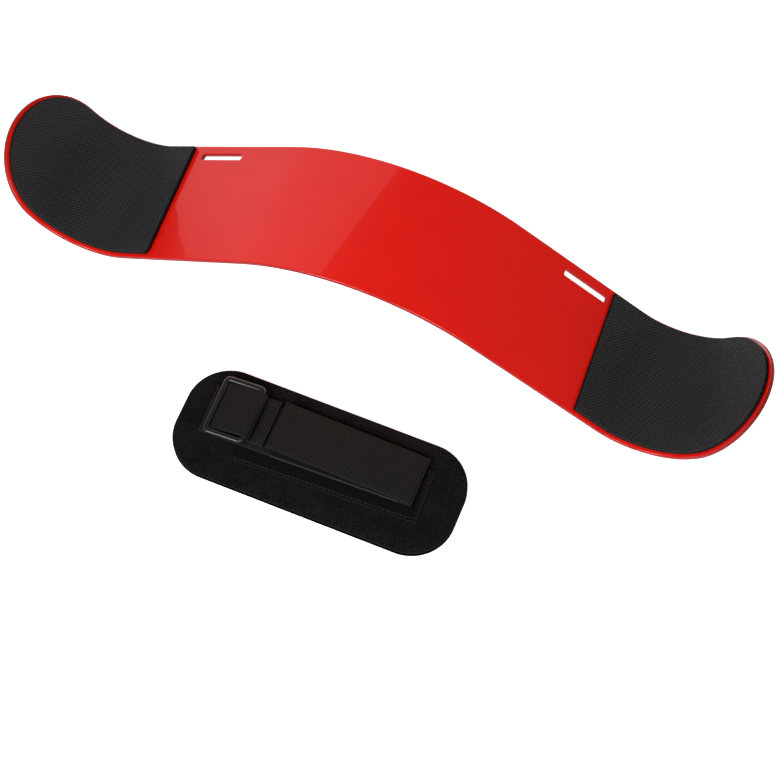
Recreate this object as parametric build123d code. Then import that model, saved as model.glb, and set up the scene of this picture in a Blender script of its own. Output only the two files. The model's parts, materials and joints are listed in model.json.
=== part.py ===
"""Arm curl brace: a bent metal strip with two elbow pads, beside its neck pad and folded strap.

Millimetres, +Z up. The origin is the middle of the footprint, on the surface that both pieces lie on.
+X runs along the metal strip and +Y points from the neck pad towards the strip.
"""
from build123d import *
from math import asin, cos, degrees, radians, sin
import os

# Metal strip: a plain strap of metal with half-round ends, bent about lines parallel to Y.
plate_thickness = 3.5
plate_width = 104.4
half_length = 350.0          # along the bent top surface, from the crown to the tip
crown_radius = 169.0         # top surface, bulging up
crown_half_angle = 32.6
flat_length = 122.0
foot_radius = 53.0           # top surface, hollow upwards
foot_turn = 81.0
edge_round = 0.8

# Strap slots, one in each sloping flat, near the edge that points away from the neck pad.
slot_length = 41.0
slot_width = 5.2
slot_corner = 1.5
slot_station = 164.0         # centre, along the strip from the crown
slot_from_middle = 42.0      # centre, across the strip

# Foam elbow pads, each stuck down with a film of adhesive.
elbow_pad_start = {"left": 192.0, "right": 190.2}  # straight inner edge, along the strip from the crown
elbow_pad_slant = {"left": 2.6, "right": -2.6}     # turn of that edge, away from the crown on the slots' side
elbow_pad_corner = 4.5      # left pad, inner corner away from the slots
elbow_pad_inset = 2.6        # bare metal rim round the pad
elbow_pad_thickness = 3.5
adhesive_thickness = 0.3
adhesive_inset = 1.5         # the film stops this far inside the pad's outline
elbow_rest_station = 320.0   # middle of the flat part of the pad, on the tip

# Neck pad: three bonded layers, cut to one outline.
neck_pad_length = 222.0
neck_pad_width = 88.0
neck_pad_corner = 33.5
neck_pad_turn = -0.44        # the pad lies slightly turned under its strap
lining_thickness = 1.0
core_thickness = 4.5
face_thickness = 1.0
neck_pad_shift = 11.0        # centre along X, from the middle of the strip
neck_pad_gap = 51.7          # clear space between the neck pad and the strip

# Carrier strip, sewn to the middle of the neck pad.
base_length = 146.0
base_width = 43.5
base_thickness = 1.4
base_hem = 6.0
base_centre_x = 11.0         # from the neck pad's centre
base_centre_y = -0.8
base_turn = 1.6

# Webbing strap: one band, sewn down, folded once at its right end and closed by hook and loop.
web_width = 39.0
web_thickness = 1.4
anchor_length = 167.0
anchor_turn = 0.9
tail_length = 114.0
tail_turn = -1.25
tail_hem = 8.0
fold_x = 74.3                # fold axis, from the neck pad's centre
fold_y = 9.6
hook_width = 35.0
loop_tape_width = 40.0
fastener_length = 102.0
fastener_start = 8.0         # from the fold axis
fastener_thickness = 1.0
tail_play = 0.3              # air between the hook and the loop faces
fold_play = 0.5              # the flat runs stop this far short of the fold axis

# Rectangular ring, held by a loop of webbing round its inner bar.
ring_bar = 4.4
ring_bar_round = 1.4         # corner radius of the three square bars
ring_length = 33.7
ring_inner_width = 39.6
ring_corner = 5.0
ring_play = 0.3
ring_tilt = 5.7              # the free bar lies lower than the captured one
loop_width = 38.4
loop_left_radius = 2.4       # outside of the loop at its low end
loop_right_radius = 4.8      # outside of the loop round the captured bar
ring_right_x = -55.7         # outer face of the captured bar, from the neck pad's centre
ring_centre_y = 11.2
loop_tab_end = -42.0
loop_crease = -53.6

# Sewing thread.
stitch_length = 2.4
stitch_pitch = 3.5
stitch_width = 0.6
stitch_height = 0.3
stitch_inset = 2.2

# Heights and places that follow from the sizes above.
crown_rise = crown_radius * (1 - cos(radians(crown_half_angle)))
flat_rise = flat_length * sin(radians(crown_half_angle))
foot_rise = foot_radius * (1 - cos(radians(crown_half_angle)))
crown_height = crown_rise + flat_rise + foot_rise + plate_thickness
flat_start = crown_radius * radians(crown_half_angle)
foot_start = flat_start + flat_length
tip_start = foot_start + foot_radius * radians(foot_turn)
cap_station = half_length - plate_width / 2
tip_slope = foot_turn - crown_half_angle

turned = abs(sin(radians(neck_pad_turn)))
neck_pad_depth = neck_pad_width + (neck_pad_length - 2 * neck_pad_corner) * turned
depth = plate_width + neck_pad_gap + neck_pad_depth
plate_y = depth / 2 - plate_width / 2
neck_pad_y = neck_pad_depth / 2 - depth / 2

core_z = lining_thickness
face_z = core_z + core_thickness
base_z = face_z + face_thickness
anchor_z = base_z + base_thickness
loop_tape_z = anchor_z + web_thickness
hook_z = loop_tape_z + fastener_thickness + tail_play
tail_z = hook_z + fastener_thickness
fold_z = (anchor_z + tail_z + web_thickness) / 2
ring_z = 14.6                # captured bar
bar_x = ring_right_x - ring_bar / 2


def strip_point(station, height):
    """Point in the XZ plane at a distance along the bent top surface, offset along its normal."""
    crown = radians(crown_half_angle)
    crown_centre_z = crown_height - crown_radius
    if station <= flat_start:
        angle = station / crown_radius
        radius = crown_radius + height
        return radius * sin(angle), crown_centre_z + radius * cos(angle)
    along = min(station, foot_start) - flat_start
    x = crown_radius * sin(crown) + along * cos(crown)
    z = crown_centre_z + crown_radius * cos(crown) - along * sin(crown)
    if station <= foot_start:
        return x + height * sin(crown), z + height * cos(crown)
    turned = min(station - foot_start, tip_start - foot_start) / foot_radius
    slope = turned - crown
    centre_x = x + foot_radius * sin(crown)
    centre_z = z + foot_radius * cos(crown)
    radius = foot_radius - height
    x = centre_x + radius * sin(slope)
    z = centre_z - radius * cos(slope)
    straight = max(station - tip_start, 0)
    return x + straight * cos(slope), z + straight * sin(slope)


def strip_edges(first, last, height):
    """Lines and arcs that follow the bent strip between two stations, at one height."""
    stops = [s for s in (0, flat_start, foot_start, tip_start) if first < s < last]
    stations = [first] + stops + [last]
    edges = []
    for a, b in zip(stations, stations[1:]):
        curved = b <= flat_start or foot_start <= a < tip_start
        start, end = strip_point(a, height), strip_point(b, height)
        middle = strip_point((a + b) / 2, height)
        edges.append(ThreePointArc(start, middle, end) if curved else Line(start, end))
    return edges


def strip_layer(first, low, high, width):
    """Right half of a layer of the strip: bent part, then a half-round end on the straight tip."""
    lower = strip_edges(first, cap_station, low)
    upper = strip_edges(first, cap_station, high)
    ends = [Line(strip_point(s, low), strip_point(s, high)) for s in (first, cap_station)]
    profile = make_face(lower + upper + ends)
    bent = extrude(Plane.XZ * profile, amount=width / 2, both=True)
    x, z = strip_point(cap_station, low)
    slope = radians(tip_slope)
    tip = Plane(origin=(x, 0, z), x_dir=(cos(slope), 0, sin(slope)), z_dir=(-sin(slope), 0, cos(slope)))
    radius = width / 2
    arc = ThreePointArc((0, -radius), (radius, 0), (0, radius))
    half_disc = make_face([arc, Line((0, radius), (0, -radius))])
    return bent + extrude(tip * half_disc, amount=high - low)


def slot_cutter():
    """Block with rounded corners that cuts the right-hand strap slot."""
    x, z = strip_point(slot_station, 0)
    slope = radians(crown_half_angle)
    along = (cos(slope), 0, -sin(slope))
    plane = Plane(origin=(x, slot_from_middle, z), x_dir=along, z_dir=(sin(slope), 0, cos(slope)))
    outline = RectangleRounded(slot_length, slot_width, slot_corner)
    return extrude(plane * outline, amount=plate_thickness * 2, both=True)


def make_plate():
    """Metal strip with its two slots and rounded edges."""
    right = strip_layer(0, -plate_thickness, 0, plate_width) - slot_cutter()
    plate = right + mirror(right, Plane.YZ)
    rims = [e for e in plate.edges() if on_rim(e)]
    return Pos(0, plate_y, 0) * fillet(rims, edge_round)


def on_rim(edge):
    """True for an edge that lies in the top or bottom face and follows the strip's outline."""
    middle = edge @ 0.5
    start = edge @ 0
    across = abs(abs(middle.Y) - plate_width / 2) < 0.01 and abs(start.Y - middle.Y) < 0.01
    rounded = edge.geom_type == GeomType.CIRCLE and abs(edge.radius - plate_width / 2) < 0.01
    return across or rounded


def to_side(shape, side):
    """The shape itself for the right side, its mirror image for the left."""
    return shape if side == "right" else mirror(shape, Plane.YZ)


def edge_cutter(side, inset):
    """Block that cuts the inner edge of an elbow pad on the sloping flat, square to the metal."""
    slope = radians(crown_half_angle)
    x, z = strip_point(elbow_pad_start[side] + inset, 0)
    along = (cos(slope), 0, -sin(slope))
    plane = Plane(origin=(x, 0, z), x_dir=along, z_dir=(sin(slope), 0, cos(slope)))
    block = Pos(-plate_width / 2, 0, 0) * Box(plate_width, 2 * plate_width, 4 * elbow_pad_thickness)
    return plane * Rot(0, 0, -elbow_pad_slant[side]) * block


def pad_layer(side, inset, low, high):
    """Layer of an elbow pad, moved in from its outline by an inset."""
    width = plate_width - 2 * (elbow_pad_inset + inset)
    layer = strip_layer(elbow_pad_start[side] - 10, low, high, width) - edge_cutter(side, inset)
    if side == "left":
        near_edge = layer.edges().filter_by(GeomType.LINE).filter_by(lambda e: e.length < high - low + 0.1)
        corner = near_edge.sort_by(Axis.X)[:2].sort_by(Axis.Y)[0]
        layer = fillet(corner, elbow_pad_corner)
    return Pos(0, plate_y, 0) * to_side(layer, side)


def make_elbow_pad(side):
    """Foam pad that covers one foot and tip of the strip."""
    return pad_layer(side, 0, adhesive_thickness, adhesive_thickness + elbow_pad_thickness)


def make_adhesive(side):
    """Film between the metal and one elbow pad."""
    return pad_layer(side, adhesive_inset, 0, adhesive_thickness)


def on_neck_pad(shape, x, y, z, turn=0):
    """Place a shape on the neck pad, in the pad's own coordinates."""
    return Pos(neck_pad_shift + x, neck_pad_y + y, z) * Rot(0, 0, turn) * shape


def make_pad_layer(z, thickness):
    """One bonded layer of the neck pad."""
    outline = Rot(0, 0, neck_pad_turn) * RectangleRounded(neck_pad_length, neck_pad_width, neck_pad_corner)
    return on_neck_pad(extrude(outline, amount=thickness), 0, 0, z)


def block(length, width, height, x=0, y=0, z=0):
    """Box that runs from x to the right, centred on y, standing on z."""
    return Pos(x, y, z) * Box(length, width, height, align=(Align.MIN, Align.CENTER, Align.MIN))


def make_base():
    """Carrier strip, folded double at its right end."""
    strip = block(base_length, base_width, base_thickness, -base_length / 2)
    hem = block(base_hem, base_width, 2 * base_thickness, base_length / 2 - base_hem)
    rounding = fillet((strip + hem).edges().filter_by(Axis.Y).sort_by(Axis.Z)[-2:], base_thickness * 0.8)
    return on_neck_pad(rounding, base_centre_x, base_centre_y, base_z, base_turn)


def stitch_row(start, end, z):
    """Row of short stitches between two points, standing on z."""
    run = Vector(*end) - Vector(*start)
    count = int(run.length // stitch_pitch)
    turn = degrees(asin(run.Y / run.length))
    stitch = Rot(0, 0, turn) * block(stitch_length, stitch_width, stitch_height, -stitch_length / 2)
    places = [Vector(*start) + run * ((i + 0.5) / count) for i in range(count)]
    return [Pos(p.X, p.Y, z) * stitch for p in places]


def make_base_stitching():
    """Seam along the open long edge of the carrier strip and across its hem."""
    x = base_length / 2 - stitch_inset
    y = base_width / 2 - stitch_inset
    hem_x = base_length / 2 - base_hem / 2
    edge = stitch_row((-x, -y), (hem_x - base_hem / 2 - 1, -y), base_thickness)
    hem = stitch_row((hem_x, -y), (hem_x, y), 2 * base_thickness)
    seam = Compound(children=edge + hem)
    return on_neck_pad(seam, base_centre_x, base_centre_y, base_z, base_turn)


def on_fold(shape, turn):
    """Place a shape whose own origin is the fold axis, turned a little in the pad's plane."""
    return on_neck_pad(shape, fold_x, fold_y, 0, turn)


def make_anchor():
    """Lower run of the webbing, sewn to the carrier strip and doubled back at its left end."""
    band = block(anchor_length - fold_play, web_width, web_thickness, -anchor_length, 0, anchor_z)
    return on_fold(band, anchor_turn)


def make_anchor_stitching():
    """Rows of stitches that hold the lower run next to the loop tape's right end."""
    rows = []
    for x in (-4.0, -6.0):
        rows += stitch_row((x, -web_width / 2 + 3), (x, web_width / 2 - 3), loop_tape_z)
    return on_fold(Compound(children=rows), anchor_turn)


def make_loop_tape():
    """Soft half of the fastener, on the lower run."""
    x = -fastener_start - fastener_length
    return on_fold(block(fastener_length, loop_tape_width, fastener_thickness, x, 0, loop_tape_z), anchor_turn)


def make_hook_patch():
    """Hooked half of the fastener, under the free tail."""
    x = -fastener_start - fastener_length
    return on_fold(block(fastener_length, hook_width, fastener_thickness, x, 0, hook_z), tail_turn)


def make_tail():
    """Free run of the webbing, from the fold to its doubled end."""
    band = block(tail_length - fold_play, web_width, web_thickness, -tail_length, 0, tail_z)
    return on_fold(band, tail_turn)


def make_tail_stitching():
    """Seam across the free end."""
    x = -tail_length + tail_hem
    rows = stitch_row((x, -web_width / 2 + 2), (x, web_width / 2 - 2), tail_z + web_thickness)
    return on_fold(Compound(children=rows), tail_turn)


def make_fold():
    """Half turn of webbing that joins the lower run to the tail, round the fold axis."""
    outer = (tail_z + web_thickness - anchor_z) / 2
    tube = Cylinder(outer, web_width) - Cylinder(outer - web_thickness, web_width)
    half = tube & Pos(outer / 2, 0, 0) * Box(outer, 2 * outer, web_width)
    return on_fold(Pos(0, 0, fold_z) * Rot(90, 0, 0) * half, 0)


def make_ring():
    """Ring with a round captured bar and three bars of rounded square section."""
    reach = ring_length - ring_bar
    half = (ring_inner_width + ring_bar) / 2
    path = FilletPolyline((0, -half), (-reach, -half), (-reach, half), (0, half), radius=ring_corner - ring_bar / 2)
    start = Plane(origin=path @ 0, z_dir=path % 0)
    bars = sweep(start * RectangleRounded(ring_bar, ring_bar, ring_bar_round), path=path)
    captured = Rot(90, 0, 0) * Cylinder(ring_bar / 2, 2 * half + ring_bar)
    ring = Rot(0, -ring_tilt, 0) * (bars + captured)
    return on_neck_pad(ring, bar_x, ring_centre_y, ring_z)


def loop_outline(inwards):
    """Outline round a small circle at the low end and a large one at the captured bar."""
    left_x = ring_right_x - ring_length + ring_bar + ring_play + loop_left_radius
    right_x = loop_crease - loop_right_radius
    left = Pos(left_x, loop_tape_z + loop_left_radius) * Circle(loop_left_radius - inwards)
    right = Pos(right_x, loop_tape_z + loop_right_radius) * Circle(loop_right_radius - inwards)
    return make_hull(left.edges() + right.edges())


def make_ring_loop():
    """Loop of webbing round the captured bar, closed by a flat tab sewn to the lower run."""
    tab_start = loop_crease - loop_right_radius
    tab_middle = Pos((tab_start + loop_tab_end) / 2, loop_tape_z + web_thickness)
    tab = tab_middle * Rectangle(loop_tab_end - tab_start, 2 * web_thickness)
    profile = loop_outline(0) + tab - loop_outline(web_thickness)
    return on_neck_pad(extrude(Plane.XZ * profile, amount=loop_width / 2, both=True), 0, ring_centre_y, 0)


def make_loop_stitching():
    """Close rows of stitches through the tab."""
    rows = []
    for x in (-51.0, -48.5, -46.0):
        half = loop_width / 2 - 3
        rows += stitch_row((x, ring_centre_y - half), (x, ring_centre_y + half), loop_tape_z + 2 * web_thickness)
    return on_neck_pad(Compound(children=rows), 0, 0, 0)


def save(shape, node):
    """Write one sub-part to its own STEP file."""
    export_step(shape, f"parts/{node}.step")


def main():
    """Make and write every sub-part."""
    os.makedirs("parts", exist_ok=True)
    save(make_plate(), "plate")
    for side in ("left", "right"):
        save(make_elbow_pad(side), f"elbow_pad_{side}")
        save(make_adhesive(side), f"pad_adhesive_{side}")
    save(make_pad_layer(0, lining_thickness), "neck_pad_lining")
    save(make_pad_layer(core_z, core_thickness), "neck_pad_core")
    save(make_pad_layer(face_z, face_thickness), "neck_pad_face")
    save(make_base(), "strap_base")
    save(make_base_stitching(), "strap_base_stitching")
    save(make_anchor(), "strap_anchor")
    save(make_anchor_stitching(), "strap_anchor_stitching")
    save(make_loop_tape(), "loop_tape")
    save(make_fold(), "strap_fold")
    save(make_tail(), "strap_tail")
    save(make_tail_stitching(), "strap_tail_stitching")
    save(make_hook_patch(), "hook_patch")
    save(make_ring_loop(), "ring_loop")
    save(make_loop_stitching(), "ring_loop_stitching")
    save(make_ring(), "buckle_ring")
    x, z = strip_point(slot_station, 0)
    print("plate_y", plate_y, "neck_pad_y", neck_pad_y, "crown height", crown_height)
    print("slot centre", x, z, "fold", neck_pad_shift + fold_x, neck_pad_y + fold_y, fold_z)
    print("ring bar", neck_pad_shift + bar_x, neck_pad_y + ring_centre_y, ring_z)
    print("elbow rest", strip_point(elbow_rest_station, adhesive_thickness + elbow_pad_thickness))


main()
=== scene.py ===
"""Looks for an arm curl brace: a glossy bent strip with foam elbow pads, and its neck pad with a folded strap."""
import json
from math import asin, atan2, cos, degrees, hypot, pi, radians, sin, tan

import bmesh
import bpy
import numpy as np
from bpy.props import FloatProperty, FloatVectorProperty, PointerProperty
from mathutils import Matrix, Vector


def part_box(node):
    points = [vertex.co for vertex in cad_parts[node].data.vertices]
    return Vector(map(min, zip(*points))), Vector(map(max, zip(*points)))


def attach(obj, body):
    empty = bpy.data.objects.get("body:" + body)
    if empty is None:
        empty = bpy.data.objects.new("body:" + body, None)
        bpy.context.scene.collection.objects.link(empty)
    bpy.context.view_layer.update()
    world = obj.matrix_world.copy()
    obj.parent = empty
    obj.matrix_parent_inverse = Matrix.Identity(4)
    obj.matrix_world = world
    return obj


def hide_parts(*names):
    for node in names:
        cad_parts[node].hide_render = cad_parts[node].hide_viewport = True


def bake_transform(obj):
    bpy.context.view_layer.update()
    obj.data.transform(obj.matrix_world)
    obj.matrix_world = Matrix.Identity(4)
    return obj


bl_info = {
    "name": "Arm Curl Brace",
    "version": (1, 0, 0),
    "blender": (4, 5, 0),
    "location": "3D View > Sidebar > Curl Brace",
    "description": "Builds the strip, the pads, the strap and the studio round the packed frame",
    "category": "Object",
}

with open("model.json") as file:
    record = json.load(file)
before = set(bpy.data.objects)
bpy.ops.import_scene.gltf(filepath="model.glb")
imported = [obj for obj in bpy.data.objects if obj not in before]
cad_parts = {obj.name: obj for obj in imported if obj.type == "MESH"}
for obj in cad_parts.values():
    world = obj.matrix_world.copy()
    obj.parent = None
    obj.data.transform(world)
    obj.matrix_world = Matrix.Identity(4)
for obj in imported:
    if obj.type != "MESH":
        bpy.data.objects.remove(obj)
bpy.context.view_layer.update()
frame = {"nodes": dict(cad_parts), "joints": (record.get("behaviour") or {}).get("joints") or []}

MM = 0.001
SETTINGS = "curl_brace"
SLOT_WINDOW = 24 * MM  # half the length of the patch of faces that a slot is let into
SELVEDGE_POINTS = 6  # points of a band's section on each rounded selvedge
RIB_STEPS = 8  # points of a path from one rib to the next


def node_middle(name):
    """Middle of a CAD node's box."""
    low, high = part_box(name)
    return (low + high) / 2


def node_size(name):
    """Size of a CAD node's box."""
    low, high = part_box(name)
    return high - low


def joint(name):
    """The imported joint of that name."""
    return next(j for j in frame["joints"] if j["name"] == name)


# ---------------------------------------------------------------------------
# Settings


def length(name, description, default):
    """Float property that holds a length in metres."""
    return FloatProperty(name=name, description=description, default=default, unit="LENGTH", precision=5)


def angle(name, description, default):
    """Float property that holds an angle, given in degrees."""
    return FloatProperty(name=name, description=description, default=radians(default), subtype="ANGLE")


def number(name, description, default):
    """Float property without a unit."""
    return FloatProperty(name=name, description=description, default=default)


def colour(name, description, default):
    """Colour property."""
    return FloatVectorProperty(
        name=name, description=description, default=default, subtype="COLOR", size=3, min=0.0, max=1.0
    )


class StripSettings(bpy.types.PropertyGroup):
    """Sizes and coat of the metal strip."""

    thickness: length("Thickness", "Thickness of the metal", 3.5 * MM)
    half_length: length("Half length", "Length from the crown to a tip along the bent top surface", 350 * MM)
    crown_radius: length("Crown radius", "Bend radius of the top surface over the crown", 169 * MM)
    crown_half_angle: angle("Crown half angle", "Turn from the crown to the sloping flat", 32.6)
    flat_length: length("Flat length", "Length of each sloping flat", 122 * MM)
    foot_radius: length("Foot radius", "Bend radius of the top surface in a foot", 53 * MM)
    foot_turn: angle("Foot turn", "Turn from the sloping flat to the tip", 81)
    edge_round: length("Edge round", "Radius of the edges", 0.8 * MM)
    slot_station: length("Slot station", "Middle of a strap slot along the strip", 164 * MM)
    slot_offset: length("Slot offset", "Middle of a strap slot across the strip", 42 * MM)
    slot_length: length("Slot length", "Length of a strap slot", 41 * MM)
    slot_width: length("Slot width", "Width of a strap slot", 5.2 * MM)
    slot_corner: length("Slot corner", "Corner radius of a strap slot", 1.5 * MM)
    coat: colour("Coat", "Colour of the gloss coat", (0.93, 0.0085, 0.003))


class ElbowPadSettings(bpy.types.PropertyGroup):
    """Sizes and finish of the elbow pads."""

    left_start: length("Left start", "Inner edge of the left pad along the strip", 192.0 * MM)
    left_slant: angle("Left slant", "Turn of the left pad's inner edge", 2.6)
    right_start: length("Right start", "Inner edge of the right pad along the strip", 190.2 * MM)
    right_slant: angle("Right slant", "Turn of the right pad's inner edge", -2.6)
    left_corner: length("Left corner", "Radius of the left pad's inner corner away from the slots", 4.5 * MM)
    inset: length("Inset", "Bare rim round a pad", 2.6 * MM)
    film: length("Film", "Thickness of the adhesive film", 0.3 * MM)
    thickness: length("Thickness", "Thickness of the foam", 3.5 * MM)
    edge_round: length("Edge round", "Rounding of the cut edge", 0.5 * MM)
    pitch: length("Emboss pitch", "Distance between embossed lines", 2.1 * MM)
    foam: colour("Foam", "Colour of the foam", (0.016, 0.016, 0.016))


class NeckPadSettings(bpy.types.PropertyGroup):
    """Shape and finish of the neck pad."""

    long_side: length("Length", "Length of the neck pad", 222 * MM)
    short_side: length("Width", "Width of the neck pad", 88 * MM)
    turn: angle("Turn", "How the pad is turned under its strap", -0.44)
    corner: length("Corner", "Corner radius of the outline", 33.5 * MM)
    edge_round: length("Edge round", "Rounding of the upper edge", 0.9 * MM)
    swell: length("Swell", "How far the foam swells beside the sewn strip", 0.7 * MM)
    face: colour("Face", "Colour of the brushed face", (0.0040, 0.0043, 0.0043))
    foam: colour("Foam", "Colour of the foam core", (0.005, 0.005, 0.005))


class StrapSettings(bpy.types.PropertyGroup):
    """Shape and finish of the webbing and of the strip it is sewn to."""

    web_thickness: length("Webbing thickness", "Thickness of the webbing", 1.4 * MM)
    web_width: length("Webbing width", "Width of the webbing", 39 * MM)
    loop_low_radius: length("Loop low radius", "Outside radius of the ring loop at its low end", 2.4 * MM)
    loop_high_radius: length("Loop high radius", "Outside radius of the ring loop at the captured bar", 4.8 * MM)
    loop_crease: length("Loop crease", "Right-hand side of the ring loop", -42.6 * MM)
    loop_width: length("Loop width", "Width of the webbing in the ring", 38.4 * MM)
    rib_pitch: length("Rib pitch", "Distance between two ribs of the webbing", 2.1 * MM)
    rib_depth: length("Rib depth", "Depth of the groove between two ribs", 0.36 * MM)
    tape_width: length("Loop tape width", "Width of the soft half of the fastener", 40 * MM)
    hook_width: length("Hook patch width", "Width of the hooked half of the fastener", 35 * MM)
    stitch: length("Stitch", "Length of one stitch", 2.4 * MM)
    stitch_pitch: length("Stitch pitch", "From one stitch to the next", 3.5 * MM)
    anchor_turn: angle("Anchor turn", "How the sewn run is turned in the pad's plane", 0.9)
    tail_turn: angle("Tail turn", "How the tail is turned in the pad's plane", -1.25)
    base_turn: angle("Carrier turn", "How the carrier strip is turned in the pad's plane", 1.6)
    base_length: length("Carrier length", "Length of the carrier strip", 146 * MM)
    base_width: length("Carrier width", "Width of the carrier strip", 43.5 * MM)
    base_hem: length("Carrier hem", "Length of the doubled end of the carrier strip", 6 * MM)
    carrier: colour("Carrier", "Colour of the carrier strip", (0.0020, 0.0022, 0.0020))
    yarn: colour("Yarn", "Colour of the webbing", (0.0040, 0.0049, 0.0042))
    thread: colour("Thread", "Colour of the sewing thread", (0.007, 0.0075, 0.007))


class RingSettings(bpy.types.PropertyGroup):
    """Shape and finish of the rectangular ring."""

    bar: length("Bar", "Thickness of the ring's bars", 4.4 * MM)
    bar_round: length("Bar round", "Corner radius of the bars' section", 1.4 * MM)
    long_side: length("Length", "Length of the ring along the strap", 33.7 * MM)
    short_side: length("Width", "Width of the ring across the strap", 48.4 * MM)
    tilt: angle("Tilt", "How much lower the free bar lies", 5.7)
    corner: length("Corner", "Outer corner radius of the ring", 5 * MM)
    shell: colour("Ring", "Colour of the ring", (0.012, 0.012, 0.0125))


class StudioSettings(bpy.types.PropertyGroup):
    """Camera and lights."""

    azimuth: angle("Azimuth", "Camera's turn about the vertical", 21.83)
    elevation: angle("Elevation", "Camera's height above the horizon", 66.55)
    distance: length("Distance", "From the camera to the point it looks at", 1.5289)
    target: FloatVectorProperty(
        name="Target",
        description="Point that the camera looks at",
        default=(0.04854, -0.02766, 0.05686),
        subtype="XYZ",
    )
    lens: number("Lens", "Focal length in millimetres", 97.35)
    left_key: number("Left key", "Power of the left front light in watts", 39.0)
    right_key: number("Right key", "Power of the right front light in watts", 23.5)
    panel: number("Back panel", "Power of the panel that shines in the coat, in watts", 2.1)
    glow: number("Floor glow", "Light that the floor gives off itself", 0.95)
    sky: number("Sky", "Strength of the even light", 0.08)
    floor: colour("Floor", "Colour of the floor", (0.86, 0.86, 0.86))


SETTING_GROUPS = {
    "strip": StripSettings,
    "elbow_pad": ElbowPadSettings,
    "neck_pad": NeckPadSettings,
    "strap": StrapSettings,
    "ring": RingSettings,
    "studio": StudioSettings,
}


class CurlBraceSettings(bpy.types.PropertyGroup):
    """All settings of the arm curl brace."""

    strip: PointerProperty(type=StripSettings, name="Strip", description="Metal strip")
    elbow_pad: PointerProperty(type=ElbowPadSettings, name="Elbow pads", description="Elbow pads")
    neck_pad: PointerProperty(type=NeckPadSettings, name="Neck pad", description="Neck pad")
    strap: PointerProperty(type=StrapSettings, name="Strap", description="Webbing strap")
    ring: PointerProperty(type=RingSettings, name="Ring", description="Rectangular ring")
    studio: PointerProperty(type=StudioSettings, name="Studio", description="Camera and lights")


def settings():
    """The scene's settings of the arm curl brace."""
    return getattr(bpy.context.scene, SETTINGS)


# ---------------------------------------------------------------------------
# Mesh helpers


def grid_faces(rows, columns, close_rows=False, close_columns=False):
    """Quads of a grid of points stored row by row, facing along row direction cross column direction."""
    i = np.arange(rows if close_rows else rows - 1)
    j = np.arange(columns if close_columns else columns - 1)
    i, j = np.meshgrid(i, j, indexing="ij")
    after_i, after_j = (i + 1) % rows, (j + 1) % columns
    corners = [i * columns + j, after_i * columns + j, after_i * columns + after_j, i * columns + after_j]
    return np.stack(corners, axis=-1).reshape(-1, 4)


def new_piece(name, points, faces, material, uv=None, weld=None, level_normals=True, cut=None):
    """Mesh object from arrays of points and quads, smooth shaded, with a UV map if one is given for each point.

    cut is a pair: the faces that show a cut edge, as true or false for each face, and their material, which in this
    script is painted darker as shade on those walls.
    """
    mesh = bpy.data.meshes.new(name)
    mesh.from_pydata(np.asarray(points).tolist(), [], np.asarray(faces).tolist())
    if cut is not None:
        mesh.polygons.foreach_set("material_index", cut[0].astype(np.int32))
    if uv is not None:
        layer = mesh.uv_layers.new(name="UVMap")
        loops = np.zeros(len(mesh.loops), np.int32)
        mesh.loops.foreach_get("vertex_index", loops)
        layer.data.foreach_set("uv", np.asarray(uv, np.float32)[loops].ravel())
    work = bmesh.new()
    work.from_mesh(mesh)
    if weld:
        bmesh.ops.remove_doubles(work, verts=work.verts, dist=weld)
        bmesh.ops.dissolve_degenerate(work, edges=work.edges, dist=1e-7)
    loose = [v for v in work.verts if not v.link_faces]
    bmesh.ops.delete(work, geom=loose, context="VERTS")
    if level_normals:
        bmesh.ops.recalc_face_normals(work, faces=work.faces)
    work.to_mesh(mesh)
    work.free()
    mesh.polygons.foreach_set("use_smooth", np.ones(len(mesh.polygons), bool))
    mesh.materials.append(material)
    if cut is not None:
        mesh.materials.append(cut[1])
    piece = bpy.data.objects.new(name, mesh)
    bpy.context.scene.collection.objects.link(piece)
    return piece


def swept_distance(points):
    """Distance along a path of points, zero at its first point."""
    steps = np.linalg.norm(np.diff(points, axis=0), axis=1)
    return np.concatenate([[0.0], np.cumsum(steps)])


def smoothstep(x):
    """Zero below 0, one above 1, and a smooth rise between."""
    x = np.clip(x, 0.0, 1.0)
    return x * x * (3 - 2 * x)


def quarter_round(radius, steps):
    """Offsets (inwards, down) along a quarter circle that rounds an edge, from the top face to the side."""
    turn = np.linspace(0, pi / 2, steps + 1)
    return radius * (1 - np.sin(turn)), radius * (1 - np.cos(turn))


# ---------------------------------------------------------------------------
# The bent strip as a surface


def strip_point(station, across, height):
    """Point on the bent strip: crown arc, straight flat, reverse arc and straight tip, mirrored on the left.

    The height is added along the surface's normal, and across runs parallel to Y from the strip's middle line.
    """
    s = settings().strip
    side, along = np.sign(station), np.abs(station)
    crown = s.crown_half_angle
    flat_start = s.crown_radius * crown
    foot_start = flat_start + s.flat_length
    tip_start = foot_start + s.foot_radius * s.foot_turn
    on_crown = np.minimum(along, flat_start) / s.crown_radius
    on_flat = np.clip(along - flat_start, 0, s.flat_length)
    on_foot = np.clip(along - foot_start, 0, tip_start - foot_start) / s.foot_radius
    on_tip = np.maximum(along - tip_start, 0)
    slope = on_foot - on_crown
    x = s.crown_radius * np.sin(on_crown) + on_flat * cos(crown)
    x += s.foot_radius * (sin(crown) + np.sin(on_foot - crown)) * (along > foot_start) + on_tip * np.cos(slope)
    z = -s.crown_radius * (1 - np.cos(on_crown)) - on_flat * sin(crown)
    z += s.foot_radius * (cos(crown) - np.cos(on_foot - crown)) * (along > foot_start) + on_tip * np.sin(slope)
    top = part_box("plate")[1].z
    middle = node_middle("plate").y
    x, z = x - height * np.sin(slope), z + height * np.cos(slope)
    return np.stack([side * x + 0 * across, middle + across + 0 * x, top + z + 0 * across], axis=-1)


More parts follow.
